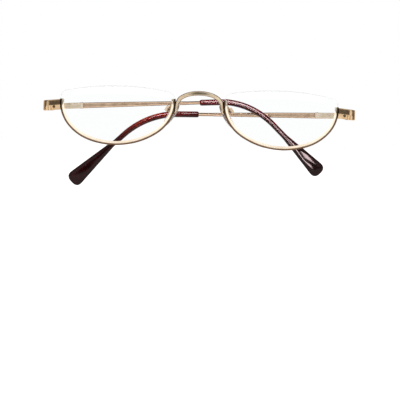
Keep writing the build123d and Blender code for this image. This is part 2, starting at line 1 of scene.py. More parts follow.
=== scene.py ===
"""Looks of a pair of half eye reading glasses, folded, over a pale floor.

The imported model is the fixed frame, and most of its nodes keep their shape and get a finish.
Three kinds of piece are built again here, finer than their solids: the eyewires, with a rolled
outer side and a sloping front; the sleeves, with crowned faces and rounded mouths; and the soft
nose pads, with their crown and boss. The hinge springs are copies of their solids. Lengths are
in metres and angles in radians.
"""
import json
import logging
from dataclasses import dataclass, field
from enum import Enum
from math import atan2, cos, pi, radians, sin, sqrt, tan

import bmesh
import bpy
from mathutils import Matrix, Vector
from mathutils.kdtree import KDTree

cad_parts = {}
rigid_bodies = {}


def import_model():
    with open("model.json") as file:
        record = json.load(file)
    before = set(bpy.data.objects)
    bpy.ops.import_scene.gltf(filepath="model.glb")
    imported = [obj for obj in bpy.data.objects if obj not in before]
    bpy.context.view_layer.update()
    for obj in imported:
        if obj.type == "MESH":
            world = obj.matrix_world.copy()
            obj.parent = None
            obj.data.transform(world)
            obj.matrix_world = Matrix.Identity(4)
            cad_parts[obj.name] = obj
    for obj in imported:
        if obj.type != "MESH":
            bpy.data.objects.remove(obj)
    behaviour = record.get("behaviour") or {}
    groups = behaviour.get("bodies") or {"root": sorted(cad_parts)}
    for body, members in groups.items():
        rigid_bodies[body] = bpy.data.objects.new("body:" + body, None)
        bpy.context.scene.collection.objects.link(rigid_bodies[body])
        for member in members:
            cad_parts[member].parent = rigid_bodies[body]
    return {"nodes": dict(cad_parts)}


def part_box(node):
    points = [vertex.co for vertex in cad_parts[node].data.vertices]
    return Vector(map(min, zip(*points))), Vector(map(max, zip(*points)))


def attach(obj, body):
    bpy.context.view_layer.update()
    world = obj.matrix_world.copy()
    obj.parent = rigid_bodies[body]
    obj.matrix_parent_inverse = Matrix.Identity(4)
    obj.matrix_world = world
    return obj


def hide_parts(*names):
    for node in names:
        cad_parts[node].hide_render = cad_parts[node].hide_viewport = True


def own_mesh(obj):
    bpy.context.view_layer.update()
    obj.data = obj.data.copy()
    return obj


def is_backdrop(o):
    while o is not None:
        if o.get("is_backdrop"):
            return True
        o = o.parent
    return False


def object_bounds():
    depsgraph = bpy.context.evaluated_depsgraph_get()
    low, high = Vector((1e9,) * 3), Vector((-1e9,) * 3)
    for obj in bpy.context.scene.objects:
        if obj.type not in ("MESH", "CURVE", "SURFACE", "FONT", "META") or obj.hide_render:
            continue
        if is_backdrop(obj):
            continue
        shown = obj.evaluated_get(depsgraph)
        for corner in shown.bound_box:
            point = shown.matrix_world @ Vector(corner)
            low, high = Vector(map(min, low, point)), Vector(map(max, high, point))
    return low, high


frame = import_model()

log = logging.getLogger("glasses")
Socket = bpy.types.NodeSocket
Tone = tuple[float, float, float]
Triple = tuple[float, float, float]
Pair = tuple[float, float]
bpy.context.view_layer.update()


class Side(Enum):
    """The wearer's sides."""

    LEFT = "left"
    RIGHT = "right"

    def node(self, name: str) -> str:
        """The name of this side's node of a piece."""
        return f"{self.value}_{name}"

    @property
    def sign(self) -> int:
        """Plus one where the side lies at +X."""
        return 1 if self is Side.LEFT else -1


@dataclass(frozen=True)
class Pattern:
    """Noise over object coordinates: its waves per metre on each axis, its detail and roughness."""

    waves: Triple
    detail: float = 3.0
    rough: float = 0.5


@dataclass(frozen=True)
class Relief:
    """How deep a pattern is pressed into a surface, and how much of that shows."""

    depth: float
    strength: float = 1.0


class Grain(Enum):
    """How a metal surface was worked, with the pattern of its marks."""

    DRAWN = Pattern((240.0, 9000.0, 9000.0), rough=0.65)
    STAMPED = Pattern((3000.0, 3000.0, 3000.0), rough=0.65)
    TURNED = Pattern((7000.0, 7000.0, 900.0), rough=0.65)


class Book:
    """A node tree, with short calls for the nodes that the looks use."""

    one_turn = 0.5

    def __init__(self, tree: bpy.types.NodeTree, output: str) -> None:
        """Empty a node tree, and give it its output and its coordinates.

        Args:
            tree: The node tree.
            output: The type of its output node.
        """
        self.tree = tree
        self.tree.nodes.clear()
        self.output = self.node(output)
        self.place = self.node("ShaderNodeTexCoord")

    def node(
        self, kind: str, values: dict | None = None, links: dict | None = None, **settings: str
    ) -> bpy.types.Node:
        """Add a node.

        Args:
            kind: The node's type.
            values: Input names or numbers, with plain values.
            links: Input names or numbers, with the sockets that feed them.
            settings: The node's own properties.

        Returns:
            The new node.
        """
        made = self.tree.nodes.new(kind)
        for key, value in settings.items():
            setattr(made, key, value)
        for key, value in (values or {}).items():
            made.inputs[key].default_value = value
        for key, socket in (links or {}).items():
            self.tree.links.new(socket, made.inputs[key])
        return made

    def part(self, kind: str, axis: str) -> Socket:
        """One axis of a kind of coordinates, such as Object or Normal."""
        split = self.node("ShaderNodeSeparateXYZ", links={"Vector": self.place.outputs[kind]})
        return split.outputs[axis]

    def noise(self, pattern: Pattern) -> Socket:
        """Noise from 0 to 1 over object coordinates.

        Args:
            pattern: Its waves, detail and roughness.

        Returns:
            The noise.
        """
        stretched = self.node(
            "ShaderNodeMapping", {"Scale": pattern.waves}, {"Vector": self.place.outputs["Object"]}
        )
        made = self.node(
            "ShaderNodeTexNoise",
            {"Scale": 1.0, "Detail": pattern.detail, "Roughness": pattern.rough},
            {"Vector": stretched.outputs["Vector"]},
        )
        return made.outputs["Fac"]

    def span(self, source: Socket, taken: Pair, given: Pair = (0.0, 1.0)) -> Socket:
        """A value carried smoothly from one range to another.

        Args:
            source: The value.
            taken: Where the value's own range starts and ends.
            given: The results there.

        Returns:
            The carried value.
        """
        made = self.node(
            "ShaderNodeMapRange",
            {"From Min": taken[0], "From Max": taken[1], "To Min": given[0], "To Max": given[1]},
            {"Value": source},
            interpolation_type="SMOOTHSTEP",
        )
        return made.outputs["Result"]

    def blend(self, factor: Socket, first: Tone | Socket, second: Tone | Socket) -> Socket:
        """A colour between two.

        Args:
            factor: How far it is towards the second.
            first: The colour at 0.
            second: The colour at 1.

        Returns:
            The colour.
        """
        made = self.node("ShaderNodeMix", links={"Factor": factor}, data_type="RGBA")
        for socket, tone in ((made.inputs[6], first), (made.inputs[7], second)):
            if isinstance(tone, tuple):
                socket.default_value = (*tone, 1.0)
            else:
                self.tree.links.new(tone, socket)
        return made.outputs[2]

    def math(self, operation: str, first: Socket, second: float | Socket = 0.0) -> Socket:
        """One step of arithmetic on a value.

        Args:
            operation: What is done.
            first: The value.
            second: What it is done with, where the operation takes two.

        Returns:
            The result.
        """
        plain = isinstance(second, float)
        values, links = ({1: second}, {0: first}) if plain else ({}, {0: first, 1: second})
        return self.node("ShaderNodeMath", values, links, operation=operation).outputs[0]

    def bump(self, height: Socket, relief: Relief, under: Socket | None = None) -> Socket:
        """A bumped normal.

        Args:
            height: The height from 0 to 1.
            relief: How deep it is pressed.
            under: An earlier bump to lay this one on.

        Returns:
            The normal.
        """
        links = {"Height": height} if under is None else {"Height": height, "Normal": under}
        values = {"Strength": relief.strength, "Distance": relief.depth}
        return self.node("ShaderNodeBump", values, links).outputs["Normal"]

    def straight(self, path: bpy.types.Node) -> Socket:
        """Tell the camera's own rays, also behind a lens, from those that a surface turned.

        Args:
            path: The node that knows the ray.

        Returns:
            One on the camera's own rays, and zero on others.
        """
        turns = self.math("ADD", path.outputs["Glossy Depth"], path.outputs["Diffuse Depth"])
        unturned = self.math("LESS_THAN", turns, self.one_turn)
        through = self.math("MULTIPLY", path.outputs["Is Transmission Ray"], unturned)
        return self.math("MAXIMUM", path.outputs["Is Camera Ray"], through)

    def mix(self, factor: Socket, first: bpy.types.Node, second: bpy.types.Node) -> bpy.types.Node:
        """Two shaders mixed by a factor."""
        links = {0: factor, 1: first.outputs[0], 2: second.outputs[0]}
        return self.node("ShaderNodeMixShader", links=links)

    def end(self, shader: bpy.types.Node) -> None:
        """Join a shader to the output."""
        self.tree.links.new(shader.outputs[0], self.output.inputs["Surface"])


class Recipe(Book):
    """The node tree of a new material."""

    def __init__(self, name: str) -> None:
        """Make the material, empty but for its output and its coordinates.

        Args:
            name: The material's name.
        """
        self.material = bpy.data.materials.new(name)
        self.material.use_nodes = True
        super().__init__(self.material.node_tree, "ShaderNodeOutputMaterial")

    def surface(self, values: dict, links: dict) -> None:
        """Add the surface's shader and join it to the output."""
        self.end(self.node("ShaderNodeBsdfPrincipled", values, links))


class Finish:
    """A surface finish that makes its material once."""

    name: str
    slot: str

    def recipe(self) -> Recipe:
        """Build the node tree."""
        raise NotImplementedError

    def dress(self, piece: bpy.types.Object) -> None:
        """Put the finish on every material slot of a piece.

        Args:
            piece: The piece's object.
        """
        made = bpy.data.materials.get(self.name) or self.recipe().material
        if not piece.material_slots:
            piece.data.materials.append(made)
        for held in piece.material_slots:
            held.material = made


@dataclass(frozen=True)
class Plating(Finish):
    """Metal with a plated or bright skin: cloudy tones, working marks, specks and a painted dark
    reflection on its sideways faces.
    """

    name: str
    light: Tone
    deep: Tone
    # The edge colour is a painted dark reflection, laid on faces that turn sideways and on the hem.
    edge: Tone
    grain: Grain
    roughness: float
    slot: str = "champagne_gold"
    # These two fields set how much painted dark reflection the edge colour gives to faces that turn
    # sideways.
    painted_reflection_share: float = 0.0
    painted_reflection_turn: Pair = (0.8, 0.97)
    waviness: float = 0.0002
    # The hem names a mesh attribute that masks a painted dark reflection.
    hem: str = ""
    metallic: float = 1.0
    index: float = 1.45
    clouds: Pattern = Pattern((420.0, 420.0, 420.0), 4.0, 0.6)
    cloud_span: Pair = (0.35, 0.68)
    haze_span: Pair = (0.3, 0.7)
    haze_shares: Pair = (0.94, 1.14)
    specks: Pattern = Pattern((5200.0, 5200.0, 5200.0), 2.0)
    speck_span: Pair = (0.62, 0.75)
    speck_share: float = 0.35
    speck_relief: Relief = Relief(0.00001, 0.12)
    mark_span: Pair = (0.5, 0.8)
    mark_haze: float = 0.07
    mark_relief: Relief = Relief(0.000012, 0.18)
    waves: Pattern = Pattern((160.0, 160.0, 160.0), 1.0, 0.4)
    hem_span: Pair = (0.1, 0.6)

    def recipe(self) -> Recipe:
        """Tone in clouds, worn specks, a painted dark reflection on sideways faces and hems, and
        marks that catch light.

        Returns:
            The node tree.
        """
        book = Recipe(self.name)
        clouds = book.noise(self.clouds)
        specks = book.noise(self.specks)
        marks = book.noise(self.grain.value)
        tone = book.blend(book.span(clouds, self.cloud_span), self.deep, self.light)
        worn = book.span(specks, self.speck_span, (0.0, self.speck_share))
        tone = book.blend(worn, tone, self.deep)
        # Painted dark reflection: faces that turn away from the front and back are blended towards
        # the edge colour.
        if self.painted_reflection_share > 0:
            facing = book.math("ABSOLUTE", book.part("Normal", "Y"))
            turned = book.span(facing, self.painted_reflection_turn, (self.painted_reflection_share, 0.0))
            tone = book.blend(turned, tone, self.edge)
        # Painted dark reflection along the eyewire's outer hem.
        if self.hem:
            outer = book.node("ShaderNodeAttribute", attribute_name=self.hem)
            tone = book.blend(book.span(outer.outputs["Fac"], self.hem_span), tone, self.edge)
        least, most = (self.roughness * share for share in self.haze_shares)
        haze = book.span(clouds, self.haze_span, (least, most))
        rough = book.math("ADD", haze, book.span(marks, self.mark_span, (0.0, self.mark_haze)))
        normal = book.bump(book.noise(self.waves), Relief(self.waviness))
        normal = book.bump(marks, self.mark_relief, normal)
        normal = book.bump(specks, self.speck_relief, normal)
        book.surface(
            {"Metallic": self.metallic, "IOR": self.index},
            {"Base Color": tone, "Roughness": rough, "Normal": normal},
        )
        return book


@dataclass(frozen=True)
class LensPolymer(Finish):
    """Clear polished lens with a thin coat and the faintest wiping marks."""

    name: str = "clear_lens_polish"
    slot: str = "clear_lens"
    tints: tuple[Tone, Tone] = ((0.992, 0.998, 0.995), (1.0, 1.0, 1.0))
    tint_span: Pair = (0.3, 0.8)
    index: float = 1.5
    coat_index: float = 1.23
    coat_nanometres: float = 112.0
    wipes: Pattern = Pattern((500.0, 500.0, 2600.0), rough=0.6)
    wipe_span: Pair = (0.58, 0.8)
    wipe_haze: float = 0.035
    wipe_relief: Relief = Relief(0.000004, 0.03)

    def recipe(self) -> Recipe:
        """A clear refracting body with light wiping marks in its roughness.

        Returns:
            The node tree.
        """
        book = Recipe(self.name)
        wipes = book.noise(self.wipes)
        tint = book.blend(book.span(wipes, self.tint_span), *self.tints)
        rough = book.span(wipes, self.wipe_span, (0.0, self.wipe_haze))
        book.surface(
            {
                "IOR": self.index,
                "Transmission Weight": 1.0,
                "Thin Film Thickness": self.coat_nanometres,
                "Thin Film IOR": self.coat_index,
            },
            {"Base Color": tint, "Roughness": rough, "Normal": book.bump(wipes, self.wipe_relief)},
        )
        return book


@dataclass(frozen=True)
class ClearMoulding(Finish):
    """Clear moulded plastic, soft or hard, with a light haze and flow marks."""

    name: str
    slot: str
    tint: Tone
    haze: Tone
    roughness: float
    index: float
    clearness: float = 0.93
    flow: Pattern = Pattern((700.0, 700.0, 1500.0), rough=0.55)
    flow_span: Pair = (0.35, 0.75)
    skin: Pattern = Pattern((9000.0, 9000.0, 9000.0), 2.0)
    skin_span: Pair = (0.35, 0.75)
    skin_shares: Pair = (0.7, 1.4)
    skin_relief: Relief = Relief(0.00001, 0.15)

    def recipe(self) -> Recipe:
        """A refracting body, hazier where it flowed, with a satin moulded skin.

        Returns:
            The node tree.
        """
        book = Recipe(self.name)
        skin = book.noise(self.skin)
        tone = book.blend(book.span(book.noise(self.flow), self.flow_span), self.tint, self.haze)
        least, most = (self.roughness * share for share in self.skin_shares)
        rough = book.span(skin, self.skin_span, (least, most))
        book.surface(
            {"IOR": self.index, "Transmission Weight": self.clearness},
            {"Base Color": tone, "Roughness": rough, "Normal": book.bump(skin, self.skin_relief)},
        )
        return book


@dataclass(frozen=True)
class Acetate(Finish):
    """Dark burgundy acetate with some real red light in its depth, a painted red glow and a
    polished skin.

    The painted glow is stronger towards the wearer's right and fades towards the left, and the tone
    deepens to near black down the sleeve.
    """

    name: str
    slot: str
    dark: Tone
    red: Tone
    # The glow colour is a painted glow of light through the acetate.
    glow: Tone
    black: Tone
    streaks: Pattern = Pattern((60.0, 500.0, 300.0), 2.5)
    streak_span: Pair = (0.42, 0.75)
    streak_share: float = 0.9
    clouds: Pattern = Pattern((180.0, 400.0, 260.0), 2.0)
    cloud_span: Pair = (0.4, 0.75)
    cloud_shares: Pair = (0.3, 1.0)
    # Where the painted glow fades along X, and its shares at each end.
    painted_glow_fades: Pair = (-0.02, 0.004)
    painted_glow_shares: Pair = (0.9, 0.12)
    # The sleeve is darker towards the bottom: below this span of height its tone is blended to near
    # black.
    deepens: Pair = (-0.016, 0.001)
    downward_black_share: float = 0.97
    haze_span: Pair = (0.3, 0.8)
    haze: Pair = (0.085, 0.12)
    waves: Pattern = Pattern((110.0, 110.0, 110.0), 1.0, 0.4)
    wave_relief: Relief = Relief(0.00015)
    index: float = 1.49
    polish_level: float = 0.18
    polish_tint: Tone = (1.0, 0.78, 0.79)
    depth_light: float = 0.35
    depth_reach: float = 0.0012
    depth_reach_shares: Triple = (1.0, 0.12, 0.08)

    def recipe(self) -> Recipe:
        """Red streaks that run along the sleeve in a near black ground, with a polished skin.

        Returns:
            The node tree.
        """
        book = Recipe(self.name)
        streaks = book.span(book.noise(self.streaks), self.streak_span, (0.0, self.streak_share))
        tone = book.blend(streaks, self.dark, self.red)
        clouds = book.noise(self.clouds)
        # Painted red glow, brighter towards -X and broken up by the clouds.
        sideways = book.span(book.part("Object", "X"), self.painted_glow_fades, self.painted_glow_shares)
        uneven = book.span(clouds, self.cloud_span, self.cloud_shares)
        tone = book.blend(book.math("MULTIPLY", uneven, sideways), tone, self.glow)
        # Darker towards the bottom, by object height.
        lower_down = book.span(book.part("Object", "Z"), self.deepens, (self.downward_black_share, 0.0))
        tone = book.blend(lower_down, tone, self.black)
        book.surface(
            {
                "IOR": self.index,
                "Specular IOR Level": self.polish_level,
                "Specular Tint": (*self.polish_tint, 1.0),
                "Subsurface Weight": self.depth_light,
                "Subsurface Radius": self.depth_reach_shares,
                "Subsurface Scale": self.depth_reach,
            },
            {
                "Base Color": tone,
                "Roughness": book.span(clouds, self.haze_span, self.haze),
                "Normal": book.bump(book.noise(self.waves), self.wave_relief),
            },
        )
        return book


# The edge colours below are painted dark reflections on the metal's sideways faces and hems.
champagne = Plating(
    "champagne_gold_wire",
    light=(0.9, 0.7, 0.46), deep=(0.76, 0.54, 0.32), edge=(0.3, 0.17, 0.07),
    grain=Grain.DRAWN, roughness=0.18, painted_reflection_share=1.0, painted_reflection_turn=(0.78, 0.93),
)
bridge_gold = Plating(
    "bridge_gold_wire",
    light=(1.0, 0.84, 0.62), deep=(0.9, 0.7, 0.47), edge=(0.1, 0.052, 0.022),
    grain=Grain.DRAWN, roughness=0.18, painted_reflection_share=1.0, painted_reflection_turn=(0.86, 0.99), waviness=0.0001,
)
pad_box_gold = Plating(
    "pad_box_gold",
    light=(0.95, 0.77, 0.57), deep=(0.85, 0.65, 0.45), edge=(0.6, 0.42, 0.26),
    grain=Grain.STAMPED, roughness=0.3, painted_reflection_share=0.5, waviness=0.0001, metallic=0.45,
)
rolled_gold = Plating(
    "rolled_eyewire_gold",
    light=(1.0, 0.88, 0.72), deep=(0.94, 0.78, 0.6), edge=(0.09, 0.042, 0.015),
    grain=Grain.DRAWN, roughness=0.17, painted_reflection_share=1.0, painted_reflection_turn=(0.6, 0.82),
    waviness=0.0001, hem="hem",
)
champagne_block = Plating(
    "champagne_gold_block",
    light=(0.84, 0.6, 0.36), deep=(0.68, 0.45, 0.25), edge=(0.3, 0.17, 0.07),
    grain=Grain.STAMPED, roughness=0.13, painted_reflection_share=0.6, waviness=0.0001,
)
housing_gold = Plating(
    "housing_gold",
    light=(1.0, 0.86, 0.68), deep=(0.95, 0.79, 0.6), edge=(0.3, 0.17, 0.09),
    grain=Grain.STAMPED, roughness=0.4, painted_reflection_share=0.8, waviness=0.00004,
)
temple_gold = Plating(
    "temple_gold",
    light=(0.95, 0.69, 0.49), deep=(0.89, 0.63, 0.43), edge=(0.13, 0.06, 0.03),
    grain=Grain.DRAWN, roughness=0.32, painted_reflection_share=1.0, painted_reflection_turn=(0.82, 0.98), waviness=0.00003,
)
screw_gold = Plating(
    "gold_screw_turned", slot="gold_screws",
    light=(0.52, 0.4, 0.25), deep=(0.38, 0.27, 0.15), edge=(0.22, 0.14, 0.07),
    grain=Grain.TURNED, roughness=0.24, painted_reflection_share=0.3,
)
spring_wire = Plating(
    "spring_steel_wire", slot="spring_steel",
    light=(0.62, 0.61, 0.6), deep=(0.45, 0.44, 0.43), edge=(0.2, 0.2, 0.2),
    grain=Grain.TURNED, roughness=0.22,
)
lens_polish = LensPolymer()
nylon = ClearMoulding(
    "nylon_line", "clear_line",
    tint=(0.97, 0.97, 0.97), haze=(0.9, 0.9, 0.9), roughness=0.12, index=1.53,
)
silicone = ClearMoulding(
    "clear_silicone_pad", "clear_silicone",
    tint=(0.98, 0.9, 0.87), haze=(0.94, 0.82, 0.79), roughness=0.2, index=1.41, clearness=0.36,
)
hard_core = ClearMoulding(
    "clear_pad_core", "clear_core",
    tint=(0.96, 0.96, 0.95), haze=(0.88, 0.88, 0.86), roughness=0.06, index=1.5,
)
# The glow colour here is painted light, laid into the base colour.
burgundy = Acetate(
    "burgundy_sleeve", "burgundy_acetate",
    dark=(0.04, 0.003, 0.006), red=(0.18, 0.008, 0.01),
    glow=(0.5, 0.04, 0.02), black=(0.008, 0.0008, 0.001),
)


def placed(name: str, data: bpy.types.ID) -> bpy.types.Object:
    """A new object of the scene.

    Args:
        name: The object's name.
        data: Its mesh, lamp or camera.

    Returns:
        The object.
    """
    made = bpy.data.objects.new(name, data)
    bpy.context.scene.collection.objects.link(made)
    return made


def formed(name: str, mesh: bmesh.types.BMesh) -> bpy.types.Object:
    """A new object of the scene from a mesh that is complete.

    Args:
        name: The object's name.
        mesh: The mesh, which is freed.

    Returns:
        The object.
    """
    shape = bpy.data.meshes.new(name)
    mesh.to_mesh(shape)
    mesh.free()
    return placed(name, shape)


@dataclass
class Assembly:
    """Something with pieces that are dressed and reported."""

    pieces: list[str] = field(default_factory=list)

    def keep(self, node: str, finish: Finish) -> bpy.types.Object:
        """Keep a node's own shape and put a finish on it.

        Args:
            node: The node's name.
            finish: What it is finished with.

        Returns:
            The node's object.
        """
        piece = frame["nodes"][node]
        finish.dress(piece)
        self.pieces.append(node)
        return piece

    def stand_in(self, piece: bpy.types.Object, finish: Finish, body: str, node: str) -> None:
        """Dress a piece that is built again, and let it ride in its node's place.

        Args:
            piece: The piece's object.
            finish: What it is finished with.
            body: The body that it moves with.
            node: The node that it stands for.
        """
        finish.dress(piece)
        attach(piece, body)
        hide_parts(node)
        self.pieces.append(piece.name)

    def report(self) -> None:
        """Log each piece."""
        for piece in self.pieces:
            log.info("%s: %s", type(self).__name__, piece)


@dataclass
class Front(Assembly):
    """The bridge, the end pieces and what is fixed to them."""

    def build(self) -> None:
        """Dress the pieces."""
        self.keep("bridge", bridge_gold)
        for side in Side:
            self.keep(side.node("end_piece"), champagne_block)
            self.keep(side.node("closing_screw"), screw_gold)
            self.keep(side.node("front_knuckles"), champagne_block)
            self.keep(side.node("hinge_screw"), screw_gold)


@dataclass
class Glazing(Assembly):
    """Lenses and the lines that hold them."""

    def build(self) -> None:
        """Dress the lenses and their lines, which only the camera's own rays meet."""
        for side in Side:
            lens = self.keep(side.node("lens"), lens_polish)
            line = self.keep(side.node("lens_line"), nylon)
            for piece in (lens, line):
                piece.visible_shadow = piece.visible_glossy = piece.visible_diffuse = False


@dataclass
class Eyewire(Assembly):
    """One eyewire with a rolled outer side and a front face that slopes back towards the lens.

    Its middle sheet follows the base curve. The hem is the outer share of the front face, which
    the finish darkens with a painted dark reflection.
    """

    side: Side = Side.LEFT
    depth: float = 0.0021
    width: float = 0.0017
    outer_radius: float = 0.0008
    base_curve: float = 0.13
    lip: float = 0.00057
    # The hem width sets the band of painted dark reflection inside the outer line.
    hem_width: float = 0.0011
    cuts: int = 7
    face_start: float = 0.0001
    turn_step: float = radians(1.2)
    line_step: float = 0.00004
    crease: float = radians(50)

    def outer_line(self, points: list[Vector], centre: Vector) -> KDTree:
        """The wire's outer boundary.

        Args:
            points: The wire's points.
            centre: The eye's middle.

        Returns:
            A tree of close points along it, in the front's plane.
        """
        farthest: dict[int, Vector] = {}
        for point in points:
            arm = Vector((point.x - centre.x, 0, point.z - centre.z))
            turn = round(atan2(-arm.x, -arm.z) / self.turn_step)
            if turn not in farthest or arm.length > farthest[turn].length:
                farthest[turn] = arm
        corners = [farthest[turn] + centre for turn in sorted(farthest)]
        close = []
        for first, second in zip(corners, corners[1:]):
            parts = max(1, int((second - first).length / self.line_step))
            close += [first.lerp(second, part / parts) for part in range(parts)]
        tree = KDTree(len(close))
        for index, point in enumerate(close):
            tree.insert(Vector((point.x, 0, point.z)), index)
        tree.balance()
        return tree

    def inset(self, point: Vector, line: KDTree) -> float:
        """How far a point lies inside the outer line, at most the wire's width."""
        return min(self.width, line.find(Vector((point.x, 0, point.z)))[2])

    def sheet(self, aside: float) -> float:
        """How far back the wire's middle sheet lies, at a distance aside of the eye's middle."""
        return self.base_curve - sqrt(self.base_curve**2 - aside**2)

    def face(self, inset: float) -> float:
        """Where the front face lies, counted back from the middle sheet.

        Args:
            inset: The distance inside the outer line.

        Returns:
            The place, which is below zero.
        """
        left = max(0.0, self.outer_radius - inset)
        rounding = self.outer_radius - sqrt(self.outer_radius**2 - left**2)
        fall = (self.depth / 2 - self.lip) / (self.width - self.outer_radius)
        return rounding - self.depth / 2 + fall * max(0.0, inset - self.outer_radius)

    def shape(self, mesh: bmesh.types.BMesh, centre: Vector) -> None:
        """Divide the front face, roll and slope it, and mark its hem.

        Args:
            mesh: The wire's mesh.
            centre: The eye's middle.
        """
        line = self.outer_line([vertex.co.copy() for vertex in mesh.verts], centre)
        crossing = []
        for edge in mesh.edges:
            ends = [vertex.co for vertex in edge.verts]
            behind = max(end.y - self.sheet(end.x - centre.x) for end in ends)
            reach = abs(self.inset(ends[0], line) - self.inset(ends[1], line))
            if behind < self.face_start - self.depth / 2 and reach > self.outer_radius:
                crossing.append(edge)
        bmesh.ops.subdivide_edges(mesh, edges=crossing, cuts=self.cuts, use_grid_fill=True)
        for vertex in mesh.verts:
            middle = self.sheet(vertex.co.x - centre.x)
            if vertex.co.y - middle < self.outer_radius - self.depth / 2:
                face = self.face(self.inset(vertex.co, line))
                vertex.co.y = max(vertex.co.y, middle + face)
        # The hem carries the mask of the painted dark reflection along the outer line.
        hem = mesh.verts.layers.float.new("hem")
        for vertex in mesh.verts:
            vertex[hem] = 1.0 - min(1.0, self.inset(vertex.co, line) / self.hem_width)

    def build(self) -> None:
        """Copy the wire's mesh, shape its front face, and let it stand for the node."""
        node = self.side.node("eyewire")
        low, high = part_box(node)
        mesh = bmesh.new()
        mesh.from_mesh(frame["nodes"][node].data)
        self.shape(mesh, Vector(((low.x + high.x) / 2, 0, high.z)))
        wire = formed(self.side.node("rolled_eyewire"), mesh)
        if "custom_normal" in wire.data.attributes:
            wire.data.attributes.remove(wire.data.attributes["custom_normal"])
        wire.data.shade_smooth()
        wire.data.set_sharp_from_angle(angle=self.crease)
        self.stand_in(wire, rolled_gold, "front", node)


@dataclass(frozen=True)
class Adjustment:
    """How one temple was adjusted by hand. Its places are lengths along it from the hinge's pin.

    The fields are its tilt and turn when folded, its bend, its whole length, the drop from the
    bend's start to the end, the sleeve's lead before the bend, the waist behind the bend, how
    far the core stays short of the end, and how far the paddle's face leans up.
    """

    rise: float
    fold: float
    bend_radius: float
    bend_angle: float
    length: float
    drop: float
    lead: float
    waist_length: float
    core_margin: float
    lean: float

    @property
    def bend_start(self) -> float:
        """Where the bend starts."""
        return self.length - self.drop

    @property
    def bend_end(self) -> float:
        """Where the bend ends."""
        return self.bend_start + self.bend_radius * self.bend_angle

    @property
    def mouth(self) -> float:
        """Where the sleeve starts."""
        return self.bend_start - self.lead

    @property
    def flare_start(self) -> float:
        """Where the sleeve starts to widen into its paddle."""
        return self.bend_end + self.waist_length

    @property
    def core_end(self) -> float:
        """Where the metal core ends."""
        return self.length - self.core_margin

    def turned(self, place: float) -> float:
        """How far the temple has turned down at a place."""
        return max(0.0, min(self.bend_angle, (place - self.bend_start) / self.bend_radius))


adjustments = {
    Side.LEFT: Adjustment(
        rise=radians(-1.2), fold=radians(1.1), bend_radius=0.033, bend_angle=radians(43.0),
        length=0.127, drop=0.0545, lead=0.0095, waist_length=0.00573, core_margin=0.015,
        lean=0.0,
    ),
    Side.RIGHT: Adjustment(
        rise=radians(3.3), fold=radians(-1.0), bend_radius=0.031, bend_angle=radians(47.6),
        length=0.1253, drop=0.0543, lead=0.008, waist_length=0.00625, core_margin=0.0133,
        lean=radians(4.0),
    ),
}


